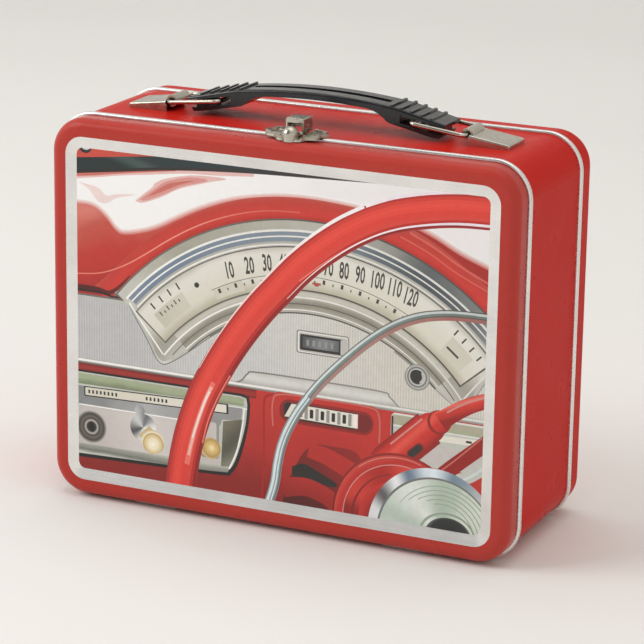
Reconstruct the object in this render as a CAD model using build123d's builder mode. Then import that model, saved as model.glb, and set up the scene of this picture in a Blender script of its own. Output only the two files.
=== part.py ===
"""Metal lunch box: hinged front lid, wide band, fixed back shell, lifting handle, hooded latch.

Millimetres, +Z up. The lid faces -Y. The box stands on the flat crowns of its two rim beads at Z = 0.
"""

import os
from math import cos, pi, sin

from build123d import *

os.makedirs("parts", exist_ok=True)

# Pressed shells and band
WIDTH = 200.0
HEIGHT = 157.0
DEPTH = 81.0
LID_DEPTH = 11.0
BACK_DEPTH = 15.0
CORNER_R = 14.0
EDGE_R = 4.3
SHEET = 0.6
GAP = 0.3

# Rim beads rolled over the two seams
BEAD_PROUD = 1.3
BEAD_INSET = 1.0
BEAD_W = 2.4
BEAD_ROUND = 0.95

# Picture panel in its sloped bare-metal border
BORDER_W = 185.8
BORDER_H = 143.2
BORDER_R = 7.5
BORDER_SLOPE_W = 4.5
BORDER_DEPTH = 1.0

# Lip of the band inside the lid
LIP_INSET = 1.0
LIP_REACH = 4.0

# Heights and seams
Z_TOP = BEAD_PROUD + HEIGHT
Z_MID = BEAD_PROUD + HEIGHT / 2
Y_FRONT = -DEPTH / 2
Y_BACK = DEPTH / 2
Y_SEAM = Y_FRONT + LID_DEPTH
Y_REAR_SEAM = Y_BACK - BACK_DEPTH
Y_BAND = (Y_SEAM + Y_REAR_SEAM) / 2

# Bottom hinges
HINGE_X = 55.0
HINGE_LENGTH = 20.0
HINGE_MIDDLE = 8.0
HINGE_Z = 1.25
KNUCKLE_R = 1.2
HINGE_PIN_R = 0.55
FIXED_LEAF = 11.0
LID_LEAF = 6.3

# Handle, its wire links and clips
HANDLE_X = 1.5
GRIP_WIDTH = 16.0
GRIP_END = 55.5
GRIP_TOP = 14.0
GRIP_SHOULDER_X = 36.0
GRIP_SHOULDER = 11.5
GRIP_END_TOP = 7.0
ARCH_RISE = 11.2
ARCH_X = 31.5
ARCH_FOOT = 5.4
FORK_BOTTOM = 1.4
SLOT_SLOPE = 0.178
SLOT_HEIGHT = 3.1
SLOT_START = 36.5
POST_X = 47.4
POST_LENGTH = 6.0
POST_WIDTH = 9.0
RIB_COUNT = 5
RIB_START = 32.6
RIB_PITCH = 4.25
RIB_WIDTH = 1.3
RIB_HEIGHT = 0.7
WIRE_R = 0.9
LINK_X = 64.0
LINK_Z = 4.0
LINK_INNER_X = 41.3
LINK_INNER_Z = 6.6
LINK_HALF_WIDTH = 9.35
LINK_BEND_R = 2.2
CLIP_KNUCKLE_R = 2.4
CLIP_BORE_R = 1.6
CLIP_KNUCKLE_LENGTH = 12.0
CLIP_INNER_X = 65.2
CLIP_OUTER_X = 82.2
CLIP_WIDTH = 16.6
CLIP_INNER_HEIGHT = 4.3
CLIP_OUTER_HEIGHT = 1.9
CLIP_SHEET = 0.8

# Latch on the top, in front of the handle
LATCH_X = 3.0
HOOD_WIDTH = 7.6
HOOD_FRONT = 10.0
HOOD_BACK = 17.8
HOOD_TOP = 8.0
HOOD_BOTTOM = 1.7
HOOD_SHEET = 0.6
HOOD_LIP = 1.8
LATCH_PIN_Y = 14.5
LATCH_PIN_Z = 4.6
LATCH_PIN_R = 0.6
DOME_Y = 6.0
DOME_R = 3.2
DOME_TOP = 5.7
COLLAR_R = 3.8
COLLAR_LOW = 2.7
COLLAR_HIGH = 3.3
PLATE_LENGTH = 25.5
PLATE_WIDTH = 16.4
PLATE_Y = 12.0
PLATE_SHEET = 0.5
PLATE_LIFT = 1.65
PLATE_SLOT = 9.2


def facing(y):
    """A plane at depth y that looks out of the front, centred on the box's outline."""
    return Plane(origin=(0, y, Z_MID), x_dir=(1, 0, 0), z_dir=(0, -1, 0))


def side_view(x, y):
    """A plane that looks along -Y, with its origin on the top of the band at (x, y)."""
    return Plane(origin=(x, y, Z_TOP), x_dir=(1, 0, 0), z_dir=(0, -1, 0))


def end_view(x):
    """A plane that looks along +X, with its origin on the top edge of the front at x."""
    return Plane(origin=(x, Y_FRONT, Z_TOP), x_dir=(0, 1, 0), z_dir=(1, 0, 0))


def outline(inset=0.0):
    """The box's rounded outline, inset by a distance."""
    RectangleRounded(WIDTH - 2 * inset, HEIGHT - 2 * inset, CORNER_R - inset)


def ring(y_low, y_high, outer_inset, inner_inset):
    """A ring between two insets of the outline, from one depth to another."""
    with BuildPart() as wall:
        with BuildSketch(facing(y_low)):
            outline(outer_inset)
        extrude(amount=-(y_high - y_low))
        with BuildSketch(facing(y_low)):
            outline(inner_inset)
        extrude(amount=-(y_high - y_low), mode=Mode.SUBTRACT)
    return wall.part


def hinge_notches(y_low, y_high, height):
    """Clear the bottom of a wall at both hinges."""
    with Locations((-HINGE_X, (y_low + y_high) / 2, 0), (HINGE_X, (y_low + y_high) / 2, 0)):
        Box(HINGE_LENGTH + 1.0, y_high - y_low, 2 * height, mode=Mode.SUBTRACT)


# Front lid: a shallow pressed pan with a window for the bordered panel
lid_edge = Y_SEAM - BEAD_W / 2 - GAP
with BuildPart() as front_shell:
    with BuildSketch(facing(Y_FRONT)):
        outline()
    extrude(amount=-(lid_edge - Y_FRONT))
    fillet(front_shell.faces().sort_by(Axis.Y)[0].edges(), EDGE_R)
    offset(amount=-SHEET, openings=front_shell.faces().sort_by(Axis.Y)[-1])
    with BuildSketch(facing(Y_FRONT - 1)):
        RectangleRounded(BORDER_W, BORDER_H, BORDER_R)
    extrude(amount=-(SHEET + 3), mode=Mode.SUBTRACT)
    hinge_notches(lid_edge - 0.45, lid_edge + 1, 2.5)

inner_w = BORDER_W - 2 * BORDER_SLOPE_W
inner_h = BORDER_H - 2 * BORDER_SLOPE_W
inner_r = BORDER_R - BORDER_SLOPE_W
with BuildPart() as panel_border:
    with BuildSketch(facing(Y_FRONT)):
        RectangleRounded(BORDER_W, BORDER_H, BORDER_R)
    extrude(amount=-SHEET)
    with BuildSketch(facing(Y_FRONT + SHEET)):
        RectangleRounded(BORDER_W, BORDER_H, BORDER_R)
    with BuildSketch(facing(Y_FRONT + SHEET + BORDER_DEPTH)):
        RectangleRounded(inner_w, inner_h, inner_r)
    loft(ruled=True)
    with BuildSketch(facing(Y_FRONT)):
        RectangleRounded(BORDER_W, BORDER_H, BORDER_R)
    with BuildSketch(facing(Y_FRONT + BORDER_DEPTH)):
        RectangleRounded(inner_w, inner_h, inner_r)
    loft(ruled=True, mode=Mode.SUBTRACT)
    with BuildSketch(facing(Y_FRONT + BORDER_DEPTH)):
        RectangleRounded(inner_w, inner_h, inner_r)
    extrude(amount=-(SHEET + 1), mode=Mode.SUBTRACT)

with BuildPart() as picture_panel:
    with BuildSketch(facing(Y_FRONT + BORDER_DEPTH)):
        RectangleRounded(inner_w, inner_h, inner_r)
    extrude(amount=-SHEET)

# Band, with a lip that the lid closes over
band_wall = ring(Y_SEAM + BEAD_W / 2, Y_REAR_SEAM - BEAD_W / 2, 0, SHEET)
lip_step = ring(Y_SEAM + BEAD_W / 2, Y_SEAM + BEAD_W / 2 + 1.5, SHEET / 2, LIP_INSET + SHEET)
lip_wall = ring(Y_SEAM - LIP_REACH, Y_SEAM + BEAD_W / 2 + 1.5, LIP_INSET, LIP_INSET + SHEET)
with BuildPart() as body_band:
    add(band_wall)
    add(lip_step)
    add(lip_wall)
    hinge_notches(Y_SEAM - LIP_REACH - 1, Y_SEAM + BEAD_W / 2 + 0.6, 3.2)

# Rolled rim beads at the two seams
front_bead_ring = ring(Y_SEAM - BEAD_W / 2, Y_SEAM + BEAD_W / 2, -BEAD_PROUD, BEAD_INSET)
back_bead_ring = ring(Y_REAR_SEAM - BEAD_W / 2, Y_REAR_SEAM + BEAD_W / 2, -BEAD_PROUD, BEAD_INSET)
with BuildPart() as front_rim_bead:
    add(front_bead_ring)
    for side_face in (front_rim_bead.faces().sort_by(Axis.Y)[0], front_rim_bead.faces().sort_by(Axis.Y)[-1]):
        fillet(side_face.outer_wire().edges(), BEAD_ROUND)
    hinge_notches(Y_SEAM - 3, Y_SEAM + 3, 3.2)

with BuildPart() as back_rim_bead:
    add(back_bead_ring)
    for side_face in (back_rim_bead.faces().sort_by(Axis.Y)[0], back_rim_bead.faces().sort_by(Axis.Y)[-1]):
        fillet(side_face.outer_wire().edges(), BEAD_ROUND)

# Back shell: a deeper pan with a plain pressed panel
shell_edge = Y_REAR_SEAM + BEAD_W / 2
with BuildPart() as back_shell:
    with BuildSketch(facing(shell_edge)):
        outline()
    extrude(amount=-(Y_BACK - shell_edge))
    fillet(back_shell.faces().sort_by(Axis.Y)[-1].edges(), EDGE_R)
    with BuildSketch(facing(Y_BACK - BORDER_DEPTH)):
        RectangleRounded(inner_w, inner_h, inner_r)
    with BuildSketch(facing(Y_BACK)):
        RectangleRounded(BORDER_W, BORDER_H, BORDER_R)
    loft(ruled=True, mode=Mode.SUBTRACT)
    with BuildSketch(facing(shell_edge)):
        outline(SHEET)
    extrude(amount=-(BACK_DEPTH - BEAD_W / 2 - EDGE_R), mode=Mode.SUBTRACT)
    with BuildSketch(facing(Y_BACK - EDGE_R)):
        outline(EDGE_R)
    extrude(amount=-(EDGE_R - BORDER_DEPTH - SHEET), mode=Mode.SUBTRACT)


# Two hinges under the front seam
def fixed_leaf(x):
    """The band's leaf of one hinge, with a knuckle at each end."""
    arm = (HINGE_LENGTH - HINGE_MIDDLE) / 2 - GAP / 2
    with BuildPart() as leaf:
        with Locations((x, Y_SEAM + 0.5 + (FIXED_LEAF - 0.5) / 2, BEAD_PROUD - SHEET / 2)):
            Box(HINGE_LENGTH, FIXED_LEAF - 0.5, SHEET)
        with Locations((x, Y_SEAM, BEAD_PROUD - SHEET / 2)):
            Box(HINGE_MIDDLE + GAP, 2 * (KNUCKLE_R + 0.35), 2, mode=Mode.SUBTRACT)
        for end in (-1, 1):
            centre = x + end * (HINGE_LENGTH / 2 - arm / 2)
            with Locations(Location((centre, Y_SEAM, HINGE_Z), (0, 90, 0))):
                Cylinder(KNUCKLE_R, arm)
        with Locations(Location((x, Y_SEAM, HINGE_Z), (0, 90, 0))):
            Cylinder(HINGE_PIN_R, HINGE_LENGTH + 2, mode=Mode.SUBTRACT)
    return leaf.part


def lid_leaf(x):
    """The lid's leaf of one hinge, with the middle knuckle."""
    with BuildPart() as leaf:
        with Locations((x, Y_SEAM - LID_LEAF / 2 - 0.85, BEAD_PROUD - SHEET / 2)):
            Box(HINGE_LENGTH - 2, LID_LEAF - 1.7, SHEET)
        with Locations((x, Y_SEAM - 1.5, BEAD_PROUD - SHEET / 2)):
            Box(HINGE_MIDDLE - GAP, 2.0, SHEET)
        with Locations(Location((x, Y_SEAM, HINGE_Z), (0, 90, 0))):
            Cylinder(KNUCKLE_R, HINGE_MIDDLE - GAP)
            Cylinder(HINGE_PIN_R + 0.06, HINGE_LENGTH, mode=Mode.SUBTRACT)
    return leaf.part


def hinge_pin(x):
    """The pin of one hinge."""
    with BuildPart() as pin:
        with Locations(Location((x, Y_SEAM, HINGE_Z), (0, 90, 0))):
            Cylinder(HINGE_PIN_R, HINGE_LENGTH)
    return pin.part


hinge_left_fixed_leaf = fixed_leaf(-HINGE_X)
hinge_right_fixed_leaf = fixed_leaf(HINGE_X)
hinge_left_lid_leaf = lid_leaf(-HINGE_X)
hinge_right_lid_leaf = lid_leaf(HINGE_X)
hinge_left_pin = hinge_pin(-HINGE_X)
hinge_right_pin = hinge_pin(HINGE_X)


# Handle clips: folded wedge covers whose inner ends curl into a knuckle
def handle_clip(side):
    """One clip, on the side -1 (left) or 1 (right)."""
    with BuildPart() as clip:
        with BuildSketch(side_view(HANDLE_X, Y_BAND - CLIP_WIDTH / 2)):
            with BuildLine():
                Polyline(
                    (side * CLIP_INNER_X, 0),
                    (side * CLIP_INNER_X, CLIP_INNER_HEIGHT),
                    (side * CLIP_OUTER_X, CLIP_OUTER_HEIGHT),
                    (side * CLIP_OUTER_X, 0),
                    close=True,
                )
            make_face()
        extrude(amount=-CLIP_WIDTH)
        folds = clip.edges().filter_by(lambda e: e.center().Z > Z_TOP + 1).filter_by(Axis.X, tolerance=12)
        fillet(folds, 0.7)
        outer_fold = clip.edges().filter_by(Axis.Y).sort_by(lambda e: -side * e.center().X)
        fillet(outer_fold.filter_by(lambda e: e.center().Z > Z_TOP + 1)[0], 0.7)
        with BuildSketch(side_view(HANDLE_X, Y_BAND - CLIP_WIDTH / 2 + CLIP_SHEET)):
            with BuildLine():
                Polyline(
                    (side * (CLIP_INNER_X - 2), -1),
                    (side * (CLIP_INNER_X - 2), CLIP_INNER_HEIGHT - CLIP_SHEET + 0.3),
                    (side * (CLIP_OUTER_X - CLIP_SHEET), CLIP_OUTER_HEIGHT - CLIP_SHEET),
                    (side * (CLIP_OUTER_X - CLIP_SHEET), -1),
                    close=True,
                )
            make_face()
        extrude(amount=-(CLIP_WIDTH - 2 * CLIP_SHEET), mode=Mode.SUBTRACT)
        with BuildSketch(side_view(HANDLE_X, Y_BAND - CLIP_KNUCKLE_LENGTH / 2)):
            with Locations((side * LINK_X, LINK_Z)):
                Circle(CLIP_KNUCKLE_R)
        extrude(amount=-CLIP_KNUCKLE_LENGTH)
        with BuildSketch(side_view(HANDLE_X, Y_BAND - CLIP_WIDTH)):
            with Locations((side * LINK_X, LINK_Z)):
                Circle(CLIP_BORE_R)
        extrude(amount=-2 * CLIP_WIDTH, mode=Mode.SUBTRACT)
    return clip.part


handle_clip_left = handle_clip(-1)
handle_clip_right = handle_clip(1)

# Wire links: closed loops through the clip knuckles and the forks of the grip
link_run = LINK_X - LINK_INNER_X
link_rise = LINK_INNER_Z - LINK_Z
link_length = (link_run**2 + link_rise**2) ** 0.5


def wire_link(side):
    """One link, on the side -1 (left) or 1 (right)."""
    lie = Plane(
        origin=(HANDLE_X + side * LINK_X, Y_BAND, Z_TOP + LINK_Z),
        x_dir=(-side * link_run, 0, link_rise),
        z_dir=(side * link_rise, 0, link_run),
    )
    with BuildSketch(lie, mode=Mode.PRIVATE) as loop:
        with Locations((link_length / 2, 0)):
            RectangleRounded(link_length, 2 * LINK_HALF_WIDTH, LINK_BEND_R)
    path = loop.sketch.face().outer_wire()
    start = path @ 0
    with BuildPart() as link:
        with BuildSketch(Plane(origin=start, z_dir=path % 0)):
            Circle(WIRE_R)
        sweep(path=path)
    return link.part


wire_link_left = wire_link(-1)
wire_link_right = wire_link(1)

# Handle grip: an arched bar with a ribbed fork at each end
shoulder_slope = (GRIP_SHOULDER - GRIP_END_TOP) / (GRIP_END - GRIP_SHOULDER_X)


def slot_height_at(x):
    """Height of the middle of the fork's slot."""
    return LINK_INNER_Z - SLOT_SLOPE * (x - LINK_INNER_X)


with BuildPart() as handle_grip:
    with BuildSketch(side_view(HANDLE_X, Y_BAND - GRIP_WIDTH / 2)):
        with BuildLine():
            ThreePointArc((-GRIP_SHOULDER_X, GRIP_SHOULDER), (0, GRIP_TOP), (GRIP_SHOULDER_X, GRIP_SHOULDER))
            Polyline(
                (GRIP_SHOULDER_X, GRIP_SHOULDER),
                (GRIP_END, GRIP_END_TOP),
                (GRIP_END, 5.0),
                (GRIP_END - 1.2, 3.6),
                (GRIP_END - 2.6, FORK_BOTTOM),
                (GRIP_END - 6.0, FORK_BOTTOM + 0.3),
                (ARCH_X + 0.6, ARCH_FOOT),
            )
            Line((ARCH_X + 0.6, ARCH_FOOT), (ARCH_X - 0.6, ARCH_FOOT + 0.6))
            for side in (1, -1):
                TangentArc(
                    (side * (ARCH_X - 10.0), ARCH_RISE - 0.85),
                    (side * (ARCH_X - 0.6), ARCH_FOOT + 0.6),
                    tangent=(side, -0.08),
                )
            ThreePointArc(
                (ARCH_X - 10.0, ARCH_RISE - 0.85), (0, ARCH_RISE), (-ARCH_X + 10.0, ARCH_RISE - 0.85)
            )
            Line((-ARCH_X + 0.6, ARCH_FOOT + 0.6), (-ARCH_X - 0.6, ARCH_FOOT))
            Polyline(
                (-ARCH_X - 0.6, ARCH_FOOT),
                (-GRIP_END + 6.0, FORK_BOTTOM + 0.3),
                (-GRIP_END + 2.6, FORK_BOTTOM),
                (-GRIP_END + 1.2, 3.6),
                (-GRIP_END, 5.0),
                (-GRIP_END, GRIP_END_TOP),
                (-GRIP_SHOULDER_X, GRIP_SHOULDER),
            )
        make_face()
    extrude(amount=-GRIP_WIDTH)
    long_top = handle_grip.edges().filter_by(
        lambda e: e.bounding_box().max.Z > Z_TOP + GRIP_SHOULDER - 0.1 and e.bounding_box().size.X > 5
    )
    fillet(long_top, 1.1)
    for side in (-1, 1):
        low_in = slot_height_at(SLOT_START)
        low_out = slot_height_at(GRIP_END + 2)
        post_in = slot_height_at(POST_X)
        post_out = slot_height_at(POST_X + POST_LENGTH)
        half = SLOT_HEIGHT / 2
        with BuildSketch(side_view(HANDLE_X, Y_BAND - GRIP_WIDTH)):
            with BuildLine():
                Polyline(
                    (side * SLOT_START, low_in - half),
                    (side * (GRIP_END + 2), low_out - half),
                    (side * (GRIP_END + 2), low_out + half),
                    (side * SLOT_START, low_in + half),
                    close=True,
                )
            make_face()
        extrude(amount=-2 * GRIP_WIDTH, mode=Mode.SUBTRACT)
        with BuildSketch(side_view(HANDLE_X, Y_BAND - POST_WIDTH / 2)):
            with BuildLine():
                Polyline(
                    (side * POST_X, post_in - half - 0.2),
                    (side * (POST_X + POST_LENGTH), post_out - half - 0.2),
                    (side * (POST_X + POST_LENGTH), post_out + half + 0.2),
                    (side * POST_X, post_in + half + 0.2),
                    close=True,
                )
            make_face()
        extrude(amount=-POST_WIDTH)
        for index in range(RIB_COUNT):
            rib_x = RIB_START + index * RIB_PITCH
            if rib_x > GRIP_SHOULDER_X:
                rib_z = GRIP_SHOULDER - shoulder_slope * (rib_x - GRIP_SHOULDER_X)
            else:
                rib_z = GRIP_TOP - (GRIP_TOP - GRIP_SHOULDER) * (rib_x / GRIP_SHOULDER_X) ** 2
            with BuildSketch(side_view(HANDLE_X, Y_BAND - GRIP_WIDTH / 2 + 0.25)):
                with BuildLine():
                    Polyline(
                        (side * (rib_x - RIB_WIDTH / 2), rib_z - 0.9),
                        (side * (rib_x - RIB_WIDTH / 2 + 0.2), rib_z + RIB_HEIGHT),
                        (side * (rib_x + RIB_WIDTH / 2 - 0.2), rib_z + RIB_HEIGHT - 0.1),
                        (side * (rib_x + RIB_WIDTH / 2), rib_z - 0.9),
                        close=True,
                    )
                make_face()
            extrude(amount=-(GRIP_WIDTH - 0.5))
    with BuildSketch(side_view(HANDLE_X, Y_BAND - 1.8)):
        with BuildLine():
            ThreePointArc((-29.5, GRIP_SHOULDER), (0, GRIP_TOP - 0.7), (29.5, GRIP_SHOULDER))
            Polyline(
                (29.5, GRIP_SHOULDER),
                (29.5, GRIP_TOP + 2),
                (-29.5, GRIP_TOP + 2),
                (-29.5, GRIP_SHOULDER),
            )
        make_face()
    extrude(amount=-3.6, mode=Mode.SUBTRACT)

# Latch: a base on the band, a pinned hood over it, and a keeper plate with a dome on the lid
with BuildPart() as latch_base:
    with Locations((LATCH_X, Y_FRONT + 16.4, Z_TOP + 0.25)):
        Box(HOOD_WIDTH - 2 * HOOD_SHEET - 2 * GAP, 8.0, 0.5)
    for ear_side in (-1, 1):
        ear_x = LATCH_X + ear_side * (HOOD_WIDTH / 2 - HOOD_SHEET - GAP - 0.3)
        with BuildSketch(end_view(ear_x - 0.3)):
            with BuildLine():
                Polyline(
                    (12.6, 0.4),
                    (12.9, 5.0),
                    (14.0, 6.0),
                    (15.4, 6.0),
                    (16.2, 5.0),
                    (16.6, 0.4),
                    close=True,
                )
            make_face()
        extrude(amount=0.6)
    with Locations(Location((LATCH_X, Y_FRONT + LATCH_PIN_Y, Z_TOP + LATCH_PIN_Z), (0, 90, 0))):
        Cylinder(LATCH_PIN_R, 2 * HOOD_WIDTH, mode=Mode.SUBTRACT)

with BuildPart() as latch_pin:
    with Locations(Location((LATCH_X, Y_FRONT + LATCH_PIN_Y, Z_TOP + LATCH_PIN_Z), (0, 90, 0))):
        Cylinder(LATCH_PIN_R, HOOD_WIDTH + 0.5)

with BuildPart() as latch_hood:
    with BuildSketch(end_view(LATCH_X - HOOD_WIDTH / 2)):
        with BuildLine():
            Polyline(
                (HOOD_FRONT, HOOD_BOTTOM),
                (HOOD_FRONT, HOOD_TOP),
                (HOOD_BACK, HOOD_TOP),
                (HOOD_BACK, HOOD_BOTTOM + 0.7),
                close=True,
            )
        make_face()
    extrude(amount=HOOD_WIDTH)
    fillet(latch_hood.faces().sort_by(Axis.Z)[-1].edges(), 0.5)
    with BuildSketch(end_view(LATCH_X - HOOD_WIDTH / 2 + HOOD_SHEET)):
        with BuildLine():
            Polyline(
                (HOOD_FRONT + HOOD_SHEET, -1),
                (HOOD_FRONT + HOOD_SHEET, HOOD_TOP - HOOD_SHEET),
                (HOOD_BACK + 1, HOOD_TOP - HOOD_SHEET),
                (HOOD_BACK + 1, -1),
                close=True,
            )
        make_face()
    extrude(amount=HOOD_WIDTH - 2 * HOOD_SHEET, mode=Mode.SUBTRACT)
    with BuildSketch(end_view(LATCH_X - HOOD_WIDTH / 2 + HOOD_SHEET)):
        with BuildLine():
            Polyline(
                (HOOD_FRONT - 1, -1),
                (HOOD_FRONT - 1, HOOD_TOP - HOOD_LIP),
                (HOOD_FRONT + 1, HOOD_TOP - HOOD_LIP),
                (HOOD_FRONT + 1, -1),
                close=True,
            )
        make_face()
    extrude(amount=HOOD_WIDTH - 2 * HOOD_SHEET, mode=Mode.SUBTRACT)
    with Locations(Location((LATCH_X, Y_FRONT + LATCH_PIN_Y, Z_TOP + LATCH_PIN_Z), (0, 90, 0))):
        Cylinder(LATCH_PIN_R + 0.06, 2 * HOOD_WIDTH, mode=Mode.SUBTRACT)


def scalloped(scale, lobes=10, swell=0.07):
    """The points of a scalloped oval, about the plate's centre."""
    points = []
    for step in range(lobes * 6):
        angle = 2 * pi * step / (lobes * 6)
        wave = scale * (1 + swell * cos(lobes * angle))
        points.append((wave * PLATE_LENGTH / 2 * cos(angle), wave * PLATE_WIDTH / 2 * sin(angle)))
    return points


def bent_sheet(low, high):
    """A sheet that lies on the lid's front edge and steps up over the rim bead, wider than the plate."""
    with BuildPart() as sheet:
        with BuildSketch(end_view(LATCH_X - 20)):
            with BuildLine():
                Polyline(
                    (2.6, low),
                    (9.0, PLATE_LIFT + low),
                    (24.0, PLATE_LIFT + low),
                    (24.0, PLATE_LIFT + high),
                    (8.9, PLATE_LIFT + high),
                    (2.6, high),
                    close=True,
                )
            make_face()
        extrude(amount=40)
    return sheet.part


plate_plane = Plane(origin=(LATCH_X, Y_FRONT + PLATE_Y, Z_TOP - 2), x_dir=(1, 0, 0), z_dir=(0, 0, 1))
relief_sheet = bent_sheet(PLATE_SHEET - 0.1, PLATE_SHEET + 0.4)
vein_sheet = bent_sheet(PLATE_SHEET - 0.1, PLATE_SHEET + 0.25)
plate_sheet = bent_sheet(0.0, PLATE_SHEET)
with BuildPart() as keeper_relief:
    add(relief_sheet)
    with BuildSketch(plate_plane):
        with BuildLine():
            Spline(*scalloped(0.98), periodic=True)
        make_face()
        with BuildLine():
            Spline(*scalloped(0.82), periodic=True)
        make_face(mode=Mode.SUBTRACT)
    extrude(amount=8, mode=Mode.INTERSECT)

with BuildPart() as keeper_veins:
    add(vein_sheet)
    with BuildSketch(plate_plane):
        for vein in range(12):
            with Locations(Rotation(0, 0, 15 + vein * 30)):
                with Locations((7.0, 0)):
                    Rectangle(4.0, 0.6)
    extrude(amount=8, mode=Mode.INTERSECT)

with BuildPart() as keeper_plate:
    add(plate_sheet)
    with BuildSketch(plate_plane):
        with BuildLine():
            Spline(*scalloped(1.0), periodic=True)
        make_face()
    extrude(amount=8, mode=Mode.INTERSECT)
    add(keeper_relief.part)
    add(keeper_veins.part)
    with Locations((LATCH_X, Y_FRONT + 9.9 + 10, Z_TOP)):
        Box(PLATE_SLOT, 20, 10, mode=Mode.SUBTRACT)
    with Locations((LATCH_X, Y_FRONT + DOME_Y, Z_TOP)):
        Cylinder(DOME_R, 20, mode=Mode.SUBTRACT)

dome_centre = (DOME_TOP**2 - DOME_R**2 - COLLAR_HIGH**2) / (2 * (DOME_TOP - COLLAR_HIGH))
dome_curve = DOME_TOP - dome_centre
with BuildPart() as keeper_dome:
    with BuildSketch(side_view(LATCH_X, Y_FRONT + DOME_Y)):
        with BuildLine():
            Polyline(
                (0, DOME_TOP),
                (0, 0),
                (DOME_R, 0),
                (DOME_R, COLLAR_LOW),
                (COLLAR_R, COLLAR_LOW),
                (COLLAR_R, COLLAR_HIGH - 0.2),
                (DOME_R, COLLAR_HIGH),
            )
            ThreePointArc(
                (DOME_R, COLLAR_HIGH),
                (dome_curve * sin(pi / 4), dome_centre + dome_curve * cos(pi / 4)),
                (0, DOME_TOP),
            )
        make_face()
    revolve(axis=Axis((LATCH_X, Y_FRONT + DOME_Y, Z_TOP), (0, 0, 1)))

parts = {
    "front_shell": front_shell.part,
    "panel_border": panel_border.part,
    "picture_panel": picture_panel.part,
    "body_band": body_band.part,
    "front_rim_bead": front_rim_bead.part,
    "back_rim_bead": back_rim_bead.part,
    "back_shell": back_shell.part,
    "hinge_left_fixed_leaf": hinge_left_fixed_leaf,
    "hinge_right_fixed_leaf": hinge_right_fixed_leaf,
    "hinge_left_lid_leaf": hinge_left_lid_leaf,
    "hinge_right_lid_leaf": hinge_right_lid_leaf,
    "hinge_left_pin": hinge_left_pin,
    "hinge_right_pin": hinge_right_pin,
    "handle_clip_left": handle_clip_left,
    "handle_clip_right": handle_clip_right,
    "wire_link_left": wire_link_left,
    "wire_link_right": wire_link_right,
    "handle_grip": handle_grip.part,
    "latch_base": latch_base.part,
    "latch_pin": latch_pin.part,
    "latch_hood": latch_hood.part,
    "keeper_plate": keeper_plate.part,
    "keeper_dome": keeper_dome.part,
}
for name, part in parts.items():
    part.label = name
    export_step(part, f"parts/{name}.step")
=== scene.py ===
"""Looks of the metal lunch box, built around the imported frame. Metres, +Z up, the lid faces -Y."""

import math

import bmesh
import bpy
from mathutils import Matrix, Vector
from mathutils.geometry import delaunay_2d_cdt


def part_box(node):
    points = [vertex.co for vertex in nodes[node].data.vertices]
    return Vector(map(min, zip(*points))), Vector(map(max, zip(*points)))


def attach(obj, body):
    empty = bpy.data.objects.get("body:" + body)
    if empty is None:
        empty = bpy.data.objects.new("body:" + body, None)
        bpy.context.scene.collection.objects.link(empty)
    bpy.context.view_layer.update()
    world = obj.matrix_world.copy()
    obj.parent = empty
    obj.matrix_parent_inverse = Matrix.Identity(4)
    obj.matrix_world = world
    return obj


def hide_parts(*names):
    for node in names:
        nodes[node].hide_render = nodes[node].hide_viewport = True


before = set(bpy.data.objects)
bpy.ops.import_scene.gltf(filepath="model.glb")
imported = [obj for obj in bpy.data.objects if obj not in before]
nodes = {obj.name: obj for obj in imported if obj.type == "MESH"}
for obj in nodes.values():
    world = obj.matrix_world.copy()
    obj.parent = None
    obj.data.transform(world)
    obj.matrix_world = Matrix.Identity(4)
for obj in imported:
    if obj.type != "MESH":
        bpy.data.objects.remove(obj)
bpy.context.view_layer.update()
MM = 0.001
MIDDLE = (0.3, 0.7)  # the part of a noise's range that most of its values fall in


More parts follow.
